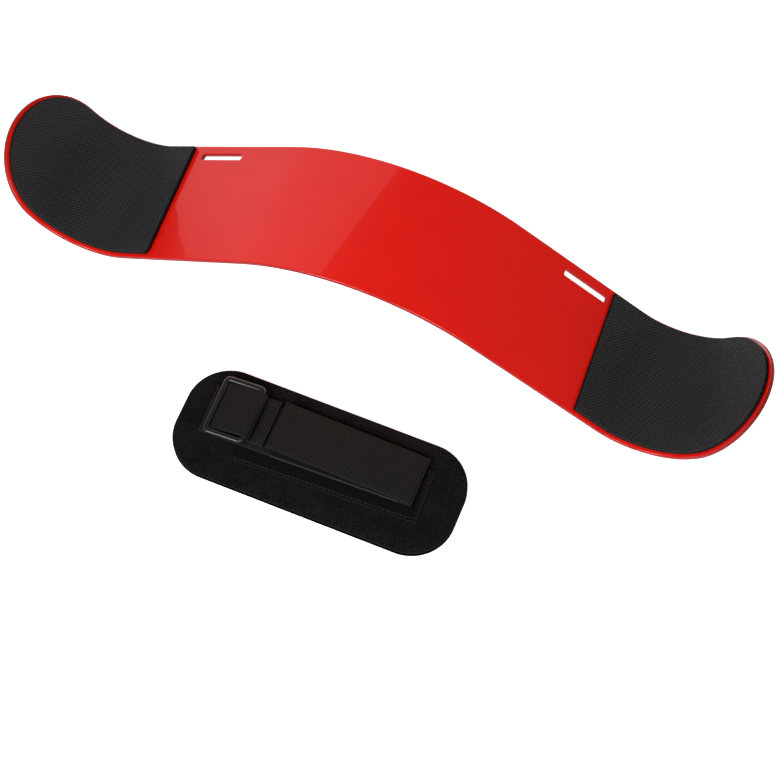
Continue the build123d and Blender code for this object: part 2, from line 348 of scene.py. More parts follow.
def stadium_path(stations, reach, cap_steps):
    """Foot points and outward directions of a strip with half-round ends, once round its outline.

    Straight sides have their foot on the middle line, and the ends turn about the last foot.
    """
    turn = np.linspace(pi / 2, -pi / 2, cap_steps + 1)[1:-1]
    foot = np.concatenate([stations, np.full(cap_steps - 1, reach), stations[::-1], np.full(cap_steps - 1, -reach)])
    right = np.stack([np.cos(turn), np.sin(turn)], axis=1)
    up = np.tile([0.0, 1.0], (len(stations), 1))
    direction = np.concatenate([up, right, -up, -right])
    return foot, direction


def edge_profile(half_width, inner, low, high, radius, steps):
    """Distance from the middle line and height, from the middle of the top round the edge to that of the bottom."""
    inwards, down = quarter_round(radius, steps)
    reach = np.concatenate([inner, half_width - inwards, (half_width - inwards)[::-1], inner[::-1]])
    height = np.concatenate([inner * 0 + high, high - down, (low + down)[::-1], inner[::-1] * 0 + low])
    return reach, height


def slot_outline(along, across, grow):
    """Points of a rectangle round a strap slot, moved onto the slot's outline grown by a margin, corners rounded."""
    s = settings().strip
    half = np.array([s.slot_length / 2 + grow, s.slot_width / 2 + grow])
    corner = s.slot_corner + grow
    scale = np.array([np.abs(along).max(), np.abs(across).max()])
    point = np.stack([along, across], axis=1) / scale * half
    centre = np.sign(point) * np.minimum(np.abs(point), half - corner)
    offset = point - centre
    reach = np.linalg.norm(offset, axis=1, keepdims=True)
    outside = (np.abs(point) > half - corner).all(axis=1, keepdims=True)
    return np.where(outside, centre + offset / np.maximum(reach, 1e-9) * corner, point)


def strip_stations(reach, slot):
    """Stations along the strip, closer together beside the slots."""
    near, far = slot - SLOT_WINDOW, slot + SLOT_WINDOW
    fine = np.linspace(near, far, 97)
    outer = np.linspace(far, reach, 57)[1:]
    middle = np.linspace(-near, near, 140)[1:-1]
    return np.concatenate([-outer[::-1], -fine[::-1], middle, fine, outer])


def build_strip():
    """Metal strip: a rounded edge profile carried round its outline, with two slots let in, then bent."""
    s = settings().strip
    half_width = node_size("plate").y / 2
    reach = s.half_length - half_width
    window, before, across_slot = 6.5 * MM, 4, 13
    first, last = before, before + across_slot
    inner = np.concatenate([
        np.linspace(0, s.slot_offset - window, before + 1),
        s.slot_offset + np.linspace(-window, window, across_slot + 1)[1:],
        [half_width - 2 * s.edge_round],
    ])
    edge_steps, cap_steps = 5, 64
    across, height = edge_profile(half_width, inner, -s.thickness, 0.0, s.edge_round, edge_steps)
    stations = strip_stations(reach, s.slot_station)
    foot, direction = stadium_path(stations, reach, cap_steps)
    rows, columns = len(foot), len(across)
    along = foot[:, None] + direction[:, :1] * across
    sideways = direction[:, 1:] * across
    high = np.broadcast_to(height, along.shape)
    faces = grid_faces(rows, columns, close_rows=True)
    flat = [along.ravel(), sideways.ravel(), high.ravel()]
    keep = np.ones(len(faces), bool)
    extra_faces, on_slot_walls = [], []
    for side in (-1, 1):
        left = np.searchsorted(stations, side * s.slot_station - SLOT_WINDOW - 1e-6)
        right = np.searchsorted(stations, side * s.slot_station + SLOT_WINDOW - 1e-6)
        row, column = faces[:, 0] // columns, faces[:, 0] % columns
        inside = (row >= left) & (row < right)
        upper = inside & (column >= first) & (column < last)
        lower = inside & (column >= columns - 1 - last) & (column < columns - 1 - first)
        keep &= ~(upper | lower)
        slot, on_slot_wall = slot_faces(flat, left, right, first, last, columns, side * s.slot_station)
        extra_faces.append(slot)
        on_slot_walls.append(on_slot_wall)
    column = faces[keep][:, 0] % columns
    on_wall = np.concatenate([(column >= len(inner) + 2) & (column <= columns - 3 - len(inner))] + on_slot_walls)
    faces = np.concatenate([faces[keep]] + extra_faces)
    points = strip_point(*flat)
    uv = np.stack([flat[0], flat[1]], axis=1)
    # The side walls and slot walls get a coat painted darker, as painted shade.
    piece = new_piece("metal_strip", points, faces, gloss_coat(), uv, weld=2e-6, cut=(on_wall, shaded_edge_coat()))
    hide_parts("plate")
    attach(piece, "plate")


def slot_faces(flat, left, right, first, last, columns, station):
    """Adds the rings of points of one slot to the flat arrays and returns their faces and which of them are its wall.

    The rings go from a rectangle in the top face to the slot's rounded rim, down its wall and out to the bottom.
    """
    s = settings().strip
    row = np.arange(left, right + 1)
    column = np.arange(first, last + 1)
    ring = np.concatenate([
        row[:-1] * columns + last,
        right * columns + column[::-1][:-1],
        row[::-1][:-1] * columns + first,
        left * columns + column[:-1],
    ])
    mirrored = ring // columns * columns + (columns - 1 - ring % columns)
    along = flat[0][ring] - station
    across = flat[1][ring] - s.slot_offset
    rim, margin = 0.5 * MM, 1.0 * MM
    inwards, down = quarter_round(rim, 3)
    grow = np.concatenate([[rim + margin], inwards, inwards[::-1], [rim + margin]])
    drop = np.concatenate([[0.0], -down, (down - s.thickness)[::-1], [-s.thickness]])
    start = len(flat[0])
    for growth, height in zip(grow, drop):
        outline = slot_outline(along, across, growth)
        flat[0] = np.concatenate([flat[0], outline[:, 0] + station])
        flat[1] = np.concatenate([flat[1], outline[:, 1] + s.slot_offset])
        flat[2] = np.concatenate([flat[2], np.full(len(ring), height)])
    count, rings = len(ring), len(grow)
    index = np.concatenate([ring, start + np.arange(count * rings), mirrored])
    faces = grid_faces(rings + 2, count, close_columns=True)
    ring = faces[:, 0] // count
    return index[faces], (ring >= 3) & (ring <= rings - 3)


def build_elbow_pad(side):
    """Foam pad: rounded profile carried along its open outline, with a straight inner end, then bent on the strip.

    Near the inner end every point moves along the strip in proportion to its place across, which slants that end,
    and a circle's drop is added at one corner, which rounds it. The side walls get a foam painted darker as shade.
    """
    s, p = settings().strip, settings().elbow_pad
    half_width = node_size("plate").y / 2 - p.inset
    reach = s.half_length - node_size("plate").y / 2
    low, high = p.film, p.film + p.thickness
    inner = np.linspace(0, half_width - 2 * p.edge_round, 14)
    edge_steps, straight, cap = 4, 70, 47
    across, height = edge_profile(half_width, inner, low, high, p.edge_round, edge_steps)
    inwards, down = quarter_round(p.edge_round, edge_steps)
    if side < 0:
        start, slant, corner = p.left_start, p.left_slant, p.left_corner
    else:
        start, slant, corner = p.right_start, p.right_slant, p.edge_round
    stations = np.concatenate([start + inwards[::-1], np.linspace(start + 2 * p.edge_round, reach, straight)])
    end_drop = np.concatenate([down[::-1], np.zeros(straight)])
    turn = np.linspace(pi / 2, -pi / 2, cap + 2)[1:-1]
    foot = np.concatenate([stations, np.full(cap, reach), stations[::-1]])
    up = np.tile([0.0, 1.0], (len(stations), 1))
    direction = np.concatenate([up, np.stack([np.cos(turn), np.sin(turn)], axis=1), -up])
    drop = np.concatenate([end_drop, np.zeros(cap), end_drop[::-1]])
    rows, columns = len(foot), len(across)
    along = foot[:, None] + direction[:, :1] * across
    sideways = direction[:, 1:] * across
    beyond = np.clip(-sideways - (half_width - corner), 0, corner)
    slant_fade, corner_fade = 60 * MM, 25 * MM
    turned = tan(slant) * sideways * smoothstep(1 - (along - start) / slant_fade)
    rounding = (corner - np.sqrt(corner**2 - beyond**2)) * smoothstep(1 - (along - start) / corner_fade)
    along = along + turned + rounding
    high_points = np.minimum(np.broadcast_to(height, along.shape), high - drop[:, None])
    points = strip_point(side * along.ravel(), sideways.ravel(), high_points.ravel())
    faces = grid_faces(rows, columns)
    half = columns // 2
    walls = []
    for row in (0, rows - 1):
        upper = row * columns + np.arange(half)
        under = row * columns + columns - 1 - np.arange(half)
        walls.append(np.stack([upper[:-1], upper[1:], under[1:], under[:-1]], axis=1))
    column, row = faces[:, 0] % columns, faces[:, 0] // columns
    turned_over = len(inner) + edge_steps - 1
    on_wall = (column >= turned_over) & (column < columns - 1 - len(inner)) | (row < 1) | (row >= rows - 2)
    faces = np.concatenate([faces] + walls)
    on_wall = np.concatenate([on_wall, np.ones(len(faces) - len(on_wall), bool)])
    uv = np.stack([along.ravel(), sideways.ravel()], axis=1)
    name = "left" if side < 0 else "right"
    # The side walls get foam painted darker, as painted shade.
    cut = (on_wall, shaded_foam_wall())
    piece = new_piece("elbow_pad_foam_" + name, points, faces, embossed_foam(), uv, weld=2e-6, cut=cut)
    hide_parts("elbow_pad_" + name)
    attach(piece, "plate")


def build_elbow_pads():
    """Both elbow pads, and the finish of the adhesive films that stay as packed."""
    film = adhesive()
    for side, name in ((-1, "left"), (1, "right")):
        build_elbow_pad(side)
        mesh = frame["nodes"]["pad_adhesive_" + name].data
        mesh.materials.clear()
        mesh.materials.append(film)


# ---------------------------------------------------------------------------
# Neck pad


def build_pad_layer(name, stands_for, bottom, top, edge, material, slot, lift):
    """One layer of the neck pad: rounded-rectangle rings that grow from the middle line to the outline.

    lift adds a height to each point of the top, as a function of its place and of its share of the way out.
    """
    p = settings().neck_pad
    middle = node_middle("neck_pad_face")
    half = np.array([p.long_side / 2, p.short_side / 2])
    corner_steps, long_steps, short_steps, edge_steps, rings_out = 24, 74, 8, 6, 15
    turn = np.linspace(0, pi / 2, corner_steps + 1)
    quarter = half - p.corner + p.corner * np.stack([np.cos(turn), np.sin(turn)], axis=1)
    long_side = np.linspace(half[0] - p.corner, -(half[0] - p.corner), long_steps + 1)[1:-1]
    short_side = np.linspace(-(half[1] - p.corner), half[1] - p.corner, short_steps + 1)[1:-1]
    outline = np.concatenate([
        quarter,
        np.stack([long_side, long_side * 0 + half[1]], axis=1),
        (quarter * [-1, 1])[::-1],
        np.stack([short_side * 0 - half[0], -short_side], axis=1),
        quarter * [-1, -1],
        np.stack([-long_side, long_side * 0 - half[1]], axis=1),
        (quarter * [1, -1])[::-1],
        np.stack([short_side * 0 + half[0], short_side], axis=1),
    ])
    foot = np.clip(outline[:, 0], half[1] - half[0], half[0] - half[1])
    foot = np.stack([foot, foot * 0], axis=1)
    direction = outline - foot
    far = np.linalg.norm(direction, axis=1)
    direction /= far[:, None]
    inwards, down = quarter_round(edge, edge_steps)
    rings = np.linspace(0, 1, rings_out + 1)[:-1]
    level_part = far[:, None] - 1.6 * edge
    reach = rings[None, :] * level_part
    top_reach = np.concatenate([reach, far[:, None] - inwards[None, :]], axis=1)
    point = foot[:, None, :] + direction[:, None, :] * top_reach[:, :, None]
    drop = np.concatenate([np.zeros(len(rings)), down])[None, :]
    share = top_reach / far[:, None]
    high = top - drop + lift(point[:, :, 0], point[:, :, 1], share)
    low = np.full(high.shape, bottom)
    x, y = (np.concatenate([point[:, :, i], point[:, ::-1, i]], axis=1) for i in (0, 1))
    x, y = middle.x + x * cos(p.turn) - y * sin(p.turn), middle.y + x * sin(p.turn) + y * cos(p.turn)
    z = np.concatenate([high, low[:, ::-1]], axis=1)
    points = np.stack([x, y, z], axis=-1).reshape(-1, 3)
    faces = grid_faces(len(outline), x.shape[1], close_rows=True)
    uv = np.stack([x.ravel(), y.ravel()], axis=1)
    piece = new_piece(name, points, faces, material, uv, weld=2e-6)
    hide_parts(stands_for)
    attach(piece, "neck_pad")


def build_neck_pad():
    """Neck pad: lining, foam core and brushed face."""
    p, s = settings().neck_pad, settings().strap
    lining_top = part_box("neck_pad_lining")[1].z
    face_low, face_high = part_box("neck_pad_face")
    strip_half = s.base_width / 2 + 1 * MM
    strip_reach = s.base_length / 2
    rise = 8 * MM

    def swell(x, y, share):
        beside = smoothstep((np.abs(y) - strip_half) / rise) + smoothstep((np.abs(x) - strip_reach) / rise)
        waves = 0.15 * np.sin(x / (17 * MM) + 0.8) * np.cos(y / (13 * MM) + 0.3)
        return p.swell * np.clip(beside, 0, 1) * (1 - share ** 6) * (1 + waves)

    def level(x, y, share):
        return 0 * x

    core_top = face_low.z
    lining = (0.0, lining_top, 0.4 * MM, knit_lining(), "lining_fabric", level)
    core = (lining_top, core_top, 0.3 * MM, core_foam(), "core_foam", level)
    face = (core_top, face_high.z, p.edge_round, brushed_nap(), "face_fabric", swell)
    build_pad_layer("neck_pad_lining_knit", "neck_pad_lining", *lining)
    build_pad_layer("neck_pad_foam", "neck_pad_core", *core)
    build_pad_layer("neck_pad_nap", "neck_pad_face", *face)


# ---------------------------------------------------------------------------
# Webbing


def band_section(width, thickness, ribbed_columns=17):
    """Closed outline of a flat band with rounded selvedges: across, up, and how much each point is ribbed."""
    edge = thickness / 2
    turn = np.linspace(pi / 2, -pi / 2, SELVEDGE_POINTS + 2)[1:-1]
    flat = np.linspace(-(width / 2 - edge), width / 2 - edge, ribbed_columns)
    selvedge = 1.2 * MM
    across = np.concatenate([flat, width / 2 - edge + edge * np.cos(turn)])
    up = np.concatenate([flat * 0 + edge, edge * np.sin(turn)])
    ribbed = np.concatenate([smoothstep((width / 2 - edge - np.abs(flat)) / selvedge), 0 * turn])
    across = np.concatenate([across, -across])
    up = np.concatenate([up, -up])
    return across, up, np.concatenate([ribbed, ribbed])


def webbing(name, path, turn, origin, width, thickness, pitch, depth, material, ribbed_columns=17):
    """Band of webbing along a path in the XZ plane, each part of it turned about the vertical at an origin.

    The section is carried along the path, and the ribs raise and lower both faces as a rounded wave of the length.
    """
    distance = swept_distance(path)
    tangent = np.gradient(path, axis=0)
    tangent /= np.linalg.norm(tangent, axis=1, keepdims=True)
    normal = np.stack([-tangent[:, 1], tangent[:, 0]], axis=1)
    across, up, ribbed = band_section(width, thickness, ribbed_columns)
    roundness, thinnest = 0.6, 0.02
    wave = np.abs(np.sin(pi * distance / pitch)) ** roundness - 1
    ends = np.minimum(distance, distance[-1] - distance) / (thickness / 2)
    taper = np.sqrt(np.clip(1 - (1 - np.clip(ends, 0, 1)) ** 2, thinnest, 1))
    on_flat = np.abs(up) > 0.49 * thickness
    relief = up * taper[:, None] + np.sign(up) * on_flat * depth * ribbed * wave[:, None]
    x = path[:, :1] + normal[:, :1] * relief
    z = path[:, 1:] + normal[:, 1:] * relief
    y = np.broadcast_to(across, x.shape)
    c, s = np.cos(turn)[:, None], np.sin(turn)[:, None]
    points = np.stack([origin.x + x * c - y * s, origin.y + x * s + y * c, z], axis=-1).reshape(-1, 3)
    rows, columns = x.shape
    faces = grid_faces(rows, columns, close_columns=True)
    half_edge = SELVEDGE_POINTS // 2
    upper = np.concatenate([np.arange(columns - half_edge, columns), np.arange(ribbed_columns + half_edge)])
    under = np.arange(columns - half_edge - 1, ribbed_columns + half_edge - 1, -1)
    cap = np.stack([upper[:-1], upper[1:], under[1:], under[:-1]], axis=1)
    caps = [cap, cap + (rows - 1) * columns]
    faces = np.concatenate([faces] + caps)
    along = np.broadcast_to(distance[:, None], x.shape)
    uv = np.stack([along.ravel(), y.ravel()], axis=1)
    return new_piece(name, points, faces, material, uv, weld=1e-6)


def arc(centre, radius, start, end, steps):
    """Points of an arc in the XZ plane, from one angle to another, in degrees."""
    turn = np.radians(np.linspace(start, end, steps))
    return np.stack([centre[0] + radius * np.cos(turn), centre[1] + radius * np.sin(turn)], axis=1)


def resample(path, step):
    """Evenly spaced points along a path."""
    distance = swept_distance(path)
    count = int(round(distance[-1] / step)) + 1
    even = np.linspace(0, distance[-1], count)
    return np.stack([np.interp(even, distance, path[:, i]) for i in (0, 1)], axis=1)


def build_strap():
    """One band of webbing: the sewn run, its turn at the fold and the tail that lies on the fastener."""
    s = settings().strap
    hinge = Vector(joint("strap_tail_peel")["pos_m"])
    half = s.web_thickness / 2
    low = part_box("strap_anchor")[0].z + half
    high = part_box("strap_tail")[1].z - half
    anchor_left, tail_left = -167 * MM, -114 * MM
    run = np.array([[anchor_left, low], [0, low]])
    turn = arc((0, hinge.z), (high - low) / 2, -90, 90, 25)
    reach = np.linspace(0, tail_left, 60)[1:]
    bow, end_lift, lift_start, lift_run = 0.25 * MM, 0.5 * MM, 98 * MM, 16 * MM
    lift = bow * np.sin(pi * reach / tail_left) + end_lift * smoothstep((np.abs(reach) - lift_start) / lift_run)
    tail = np.stack([reach, high + lift], axis=1)
    path = resample(np.concatenate([run, turn[1:], tail]), s.rib_pitch / RIB_STEPS)
    on_tail = smoothstep((path[:, 1] - low) / (high - low))
    turns = s.anchor_turn + (s.tail_turn - s.anchor_turn) * on_tail
    sizes = (s.web_width, s.web_thickness, s.rib_pitch, s.rib_depth)
    piece = webbing("strap_webbing", path, turns, hinge, *sizes, ribbed_webbing())
    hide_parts("strap_anchor", "strap_fold", "strap_tail")
    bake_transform(piece)


def build_ring_loop():
    """Band of webbing round the captured bar: up over the bar, down at the crease and into a two-layer tab."""
    s = settings().strap
    pivot = Vector(joint("buckle_ring_swing")["pos_m"])
    half = s.web_thickness / 2
    box_low, box_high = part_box("ring_loop")
    low = box_low.z + half
    right = box_high.x - pivot.x
    small, large = s.loop_low_radius - half, s.loop_high_radius - half
    near = (box_low.x - pivot.x + s.loop_low_radius, low + small)
    far = (s.loop_crease - pivot.x - s.loop_high_radius, low + large)
    run, climb = far[0] - near[0], far[1] - near[1]
    rise = degrees(atan2(climb, run) + asin((large - small) / hypot(run, climb)))
    left_end = arc(near, small, 270, 90 + rise, 24)
    crease_turn = -38
    crest = arc(far, large, 90 + rise, crease_turn, 28)
    foot = crest[-1] + np.array([[-0.35, -1.0], [0.3, -1.7], [1.5, -2.05]]) * MM
    gap = 0.06 * MM
    tab_level = low + 2 * half + gap
    tab = np.array([[foot[-1, 0] + 2 * MM, tab_level], [right, tab_level]])
    path = np.concatenate([[[right, low]], left_end, crest, rounded(np.concatenate([crest[-1:], foot, tab]))[1:]])
    path = resample(path, s.rib_pitch / RIB_STEPS)
    origin = Vector((pivot.x, node_middle("ring_loop").y, 0))
    turns = 0 * path[:, 0]
    sizes = (s.loop_width, s.web_thickness, s.rib_pitch, s.rib_depth)
    piece = webbing("ring_loop_webbing", path, turns, origin, *sizes, ribbed_webbing())
    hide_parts("ring_loop")
    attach(piece, "neck_pad")


def build_webbing():
    """The folded strap and the loop round the ring's bar."""
    build_strap()
    build_ring_loop()


def rounded(path, rounds=3):
    """Path with its corners cut again and again, each time at a quarter and three quarters of every run."""
    for _ in range(rounds):
        near = path[:-1] * 0.75 + path[1:] * 0.25
        far = path[:-1] * 0.25 + path[1:] * 0.75
        inner = np.stack([near, far], axis=1).reshape(-1, path.shape[1])
        path = np.concatenate([path[:1], inner, path[-1:]])
    return path


def build_carrier():
    """Carrier strip: a fine flat band with its right end turned back on itself as a hem."""
    s = settings().strap
    middle = node_middle("strap_base")
    low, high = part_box("strap_base")
    thickness = (high.z - low.z) / 2
    half, reach = thickness / 2, s.base_length / 2
    bottom, top = low.z + half, high.z - half
    bend = arc((reach - thickness, (bottom + top) / 2), half, -90, 90, 13)
    path = np.concatenate([[[-reach, bottom]], bend, [[reach - s.base_hem, top]]])
    step = 0.45 * MM
    path = resample(path, step)
    turns = np.full(len(path), s.base_turn)
    origin = Vector((middle.x, middle.y, 0))
    pitch, depth, columns = 0.9 * MM, 0.05 * MM, 33
    sizes = (s.base_width, thickness * 0.98, pitch, depth)
    piece = webbing("carrier_strip", path, turns, origin, *sizes, plain_weave(), columns)
    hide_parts("strap_base")
    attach(piece, "neck_pad")


# ---------------------------------------------------------------------------
# Ring, thread and fastener


def build_ring():
    """Ring: a rounded square carried round a rectangle with rounded corners, tilted about the captured bar."""
    r = settings().ring
    pivot = Vector(joint("buckle_ring_swing")["pos_m"])
    half = np.array([r.long_side - r.bar, r.short_side - r.bar]) / 2
    corner = r.corner - r.bar / 2
    turn = np.linspace(0, pi / 2, 17)
    normal = np.stack([np.cos(turn), np.sin(turn)], axis=1)
    quarter = half - corner + corner * normal
    flips = [(1, 1, 1), (-1, 1, -1), (-1, -1, 1), (1, -1, -1)]
    centre = np.concatenate([(quarter * f[:2])[:: f[2]] for f in flips])
    outward = np.concatenate([(normal * f[:2])[:: f[2]] for f in flips])
    corner_turn = np.linspace(0, pi / 2, 7)
    flat = r.bar / 2 - r.bar_round
    arcs = [np.stack([np.cos(corner_turn + q * pi / 2), np.sin(corner_turn + q * pi / 2)], axis=1) for q in range(4)]
    signs = [(1, 1), (-1, 1), (-1, -1), (1, -1)]
    out, up = np.concatenate([r.bar_round * a + flat * np.array(s) for a, s in zip(arcs, signs)]).T
    x = centre[:, :1] + outward[:, :1] * out - half[0]
    y = centre[:, 1:] + outward[:, 1:] * out
    z = 0 * x + up
    x, z = x * cos(r.tilt) - z * sin(r.tilt), x * sin(r.tilt) + z * cos(r.tilt)
    points = np.stack([pivot.x + x, pivot.y + y, pivot.z + z], axis=-1).reshape(-1, 3)
    faces = grid_faces(len(centre), len(out), close_rows=True, close_columns=True)
    piece = new_piece("rectangular_ring", points, faces, ring_plastic())
    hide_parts("buckle_ring")
    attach(piece, "buckle_ring")


def stitch_row(start, end, level, turn, origin):
    """Middles, directions and heights of evenly spaced stitches between two points, turned about an origin."""
    s = settings().strap
    start, end = np.array(start), np.array(end)
    run = end - start
    reach = hypot(*run)
    count = int(reach // s.stitch_pitch)
    middles = start + run * ((np.arange(count) + 0.5) / count)[:, None]
    spin = np.array([[cos(turn), sin(turn)], [-sin(turn), cos(turn)]])
    middles = middles @ spin + np.array(origin[:2])
    return middles, np.tile(run / reach @ spin, (count, 1)), np.full(count, level)


def build_stitches(name, stands_for, body, rows):
    """Thread: each stitch is a thin tube along a shallow bow, thinner at both ends, where it dives into the cloth."""
    s = settings().strap
    middle, direction, level = (np.concatenate(parts) for parts in zip(*rows))
    t = np.linspace(-1, 1, 9)
    ring = np.linspace(0, 2 * pi, 6, endpoint=False)
    radius, crest, dive = 0.3 * MM, 0.15 * MM, 0.25 * MM
    thick = radius * np.sqrt(1 - np.abs(t) ** 3)
    bow = crest - dive * t ** 4
    along = (t[:, None] * s.stitch / 2 + 0 * ring)[None]
    side = thick[:, None] * np.cos(ring)
    up = bow[:, None] + thick[:, None] * np.sin(ring)
    x = middle[:, 0, None, None] + direction[:, 0, None, None] * along - direction[:, 1, None, None] * side
    y = middle[:, 1, None, None] + direction[:, 1, None, None] * along + direction[:, 0, None, None] * side
    z = level[:, None, None] + up
    points = np.stack([x, y, z], axis=-1).reshape(-1, 3)
    tube = grid_faces(len(t), len(ring), close_columns=True)
    step = np.arange(len(middle))[:, None, None] * len(t) * len(ring)
    piece = new_piece(name, points, (tube + step).reshape(-1, 4), sewing_thread(), weld=1e-7)
    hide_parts(stands_for)
    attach(piece, body)


def build_seams():
    """Stitches of the carrier strip's near edge and hem, the sewn run, the tail's end and the ring loop's tab."""
    s = settings().strap
    inset = 2.2 * MM
    base, (low, high) = node_middle("strap_base"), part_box("strap_base")
    x, y = s.base_length / 2 - inset, s.base_width / 2 - inset
    hem = s.base_length / 2 - s.base_hem / 2
    rows = [
        stitch_row((-x, -y), (hem - s.base_hem / 2 - 1 * MM, -y), (low.z + high.z) / 2, s.base_turn, base),
        stitch_row((hem, -y), (hem, y), high.z, s.base_turn, base),
    ]
    build_stitches("carrier_stitches", "strap_base_stitching", "neck_pad", rows)
    fold = Vector(joint("strap_tail_peel")["pos_m"])
    edge = s.web_width / 2 - 3 * MM
    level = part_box("strap_anchor")[1].z
    rows = [stitch_row((x, -edge), (x, edge), level, s.anchor_turn, fold) for x in (-4 * MM, -6 * MM)]
    build_stitches("sewn_run_stitches", "strap_anchor_stitching", "neck_pad", rows)
    edge, x = s.web_width / 2 - 2 * MM, -106 * MM
    rows = [stitch_row((x, -edge), (x, edge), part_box("strap_tail")[1].z + 0.2 * MM, s.tail_turn, fold)]
    build_stitches("tail_stitches", "strap_tail_stitching", "strap_tail", rows)
    tab = node_middle("ring_loop_stitching")
    edge, level = s.loop_width / 2 - 3 * MM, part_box("ring_loop_stitching")[0].z
    rows = [stitch_row((x, -edge), (x, edge), level, 0, tab) for x in (-2.5 * MM, 0, 2.5 * MM)]
    build_stitches("ring_loop_stitches", "ring_loop_stitching", "neck_pad", rows)


def build_fastener(name, stands_for, body, material, slot, turn, width, up):
    """Half of the fastener: a thin band with a fine field of bristles on one face."""
    middle, (low, high) = node_middle(stands_for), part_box(stands_for)
    thickness = (high.z - low.z) * 0.9
    level = low.z + thickness / 2 if up > 0 else high.z - thickness / 2
    reach, step = 51 * MM, 1.5 * MM
    path = resample(np.array([[-reach, level], [reach, level]]), step)
    origin = Vector((middle.x, middle.y, 0))
    turns, pitch, depth, columns = np.full(len(path), turn), 3 * MM, 0.0, 9
    piece = webbing(name, path, turns, origin, width, thickness, pitch, depth, material, columns)
    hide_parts(stands_for)
    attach(piece, body)


def build_fasteners():
    """Both halves of the hook-and-loop fastener."""
    s = settings().strap
    tape, hooks = (s.anchor_turn, s.tape_width, 1), (s.tail_turn, s.hook_width, -1)
    build_fastener("loop_tape_pile", "loop_tape", "neck_pad", loop_pile(), "loop_pile", *tape)
    build_fastener("hook_patch_nylon", "hook_patch", "strap_tail", hook_nylon(), "hook_nylon", *hooks)


# ---------------------------------------------------------------------------
# Materials


def shader(name, **values):
    """New material with a Principled shader whose sockets take the given values."""
    material = bpy.data.materials.new(name)
    material.use_nodes = True
    principled = material.node_tree.nodes["Principled BSDF"]
    for key, value in values.items():
        principled.inputs[key.replace("_", " ")].default_value = value
    return material, material.node_tree, principled


def fuzz(name, roughness, specular, sheen, sheen_roughness):
    """New matt material with a sheen, as cloth has."""
    values = {"Roughness": roughness, "Specular IOR Level": specular}
    return shader(name, **values, **{"Sheen Weight": sheen, "Sheen Roughness": sheen_roughness})


def node(tree, kind, inputs=None, **attributes):
    """New shader node, with its attributes set and its inputs given as values or linked from other sockets."""
    made = tree.nodes.new(kind)
    for key, value in attributes.items():
        setattr(made, key, value)
    for key, value in (inputs or {}).items():
        socket = made.inputs[key]
        if isinstance(value, bpy.types.NodeSocket):
            tree.links.new(value, socket)
        else:
            socket.default_value = value
    return made


def maths(tree, operation, first, second=0.0):
    """Output of a maths node."""
    return node(tree, "ShaderNodeMath", {0: first, 1: second}, operation=operation).outputs[0]


def noise(tree, vector, scale, detail=3.0, roughness=0.5):
    """Factor of a noise texture."""
    inputs = {"Vector": vector, "Scale": scale, "Detail": detail, "Roughness": roughness}
    return node(tree, "ShaderNodeTexNoise", inputs).outputs["Fac"]


def bump(tree, principled, height, distance, strength=1.0, after=None):
    """Bump whose height, from 0 to 1, stands for a distance in metres, put on the shader's normal."""
    made = node(tree, "ShaderNodeBump", {"Height": height, "Distance": distance, "Strength": strength})
    if after is not None:
        tree.links.new(after, made.inputs["Normal"])
    tree.links.new(made.outputs[0], principled.inputs["Normal"])
    return made.outputs[0]


def mixed(tree, factor, first, second):
    """Colour mixed from two colours."""
    made = node(tree, "ShaderNodeMix", {"Factor": factor}, data_type="RGBA")
    made.inputs["A"].default_value = (*first, 1)
    made.inputs["B"].default_value = (*second, 1)
    return made.outputs["Result"]


def shade(rgb, factor):
    """Colour made darker or lighter."""
    return tuple(min(1.0, c * factor) for c in rgb)


def paint(tree, principled, factor, rgb, low, high):
    """Base colour between a darker and a lighter shade of one colour."""
    tree.links.new(mixed(tree, factor, shade(rgb, low), shade(rgb, high)), principled.inputs["Base Color"])


def ridges(tree, value, pitch):
    """Rounded ridges from 0 to 1 along a value, one for each pitch."""
    return maths(tree, "ABSOLUTE", maths(tree, "SINE", maths(tree, "MULTIPLY", value, pi / pitch)))


def weighted(tree, first, share, second, other_share):
    """Sum of two values, each multiplied by its share."""
    return maths(tree, "ADD", maths(tree, "MULTIPLY", first, share), maths(tree, "MULTIPLY", second, other_share))


def place(tree, kind="Object"):
    """Texture coordinates of one kind."""
    return node(tree, "ShaderNodeTexCoord").outputs[kind]


def along_and_across(tree, kind="UV"):
    """First and second texture coordinate."""
    parts = node(tree, "ShaderNodeSeparateXYZ", {"Vector": place(tree, kind)})
    return parts.outputs[0], parts.outputs[1]


def ranged(tree, value, low, high):
    """Value from 0 to 1 brought into a range."""
    made = node(tree, "ShaderNodeMapRange", {"Value": value, "To Min": low, "To Max": high})
    return made.outputs["Result"]


def band(tree, value, middle, half_width):
    """One where a value is close to a middle, falling to zero at half a width on either side."""
    off = maths(tree, "ABSOLUTE", maths(tree, "SUBTRACT", value, middle))
    made = node(tree, "ShaderNodeMapRange", {"Value": off, "From Max": half_width, "To Min": 1.0, "To Max": 0.0})
    return made.outputs["Result"]


def gloss_coat():
    """Glossy powder coat: even red with a faint orange peel and a clear top layer."""
    s = settings().strip
    material, tree, principled = shader("gloss_red_coat", Roughness=0.22, Coat_Weight=1.0, Coat_Roughness=0.03)
    coords = place(tree)
    tint = noise(tree, coords, 38.0, 2.0)
    paint(tree, principled, tint, s.coat, 0.95, 1.05)
    tree.links.new(ranged(tree, noise(tree, coords, 160.0), 0.19, 0.26), principled.inputs["Roughness"])
    bump(tree, principled, noise(tree, coords, 420.0, 2.0), 0.00002, 0.35)
    return material


def shaded_edge_coat():
    """Coat on the strip's edges and in its slots: painted darker than on its faces as shade on these walls, and
    duller.
    """
    s = settings().strip
    material, tree, principled = shader("shaded_edge_coat", Roughness=0.5, Specular_IOR_Level=0.3)
    tone = noise(tree, place(tree), 300.0, 2.0)
    # Painted shade: the walls' colour is only a fifth to a third of the coat's.
    paint(tree, principled, tone, s.coat, 0.2, 0.34)
    bump(tree, principled, tone, 0.00002, 0.3)
    return material


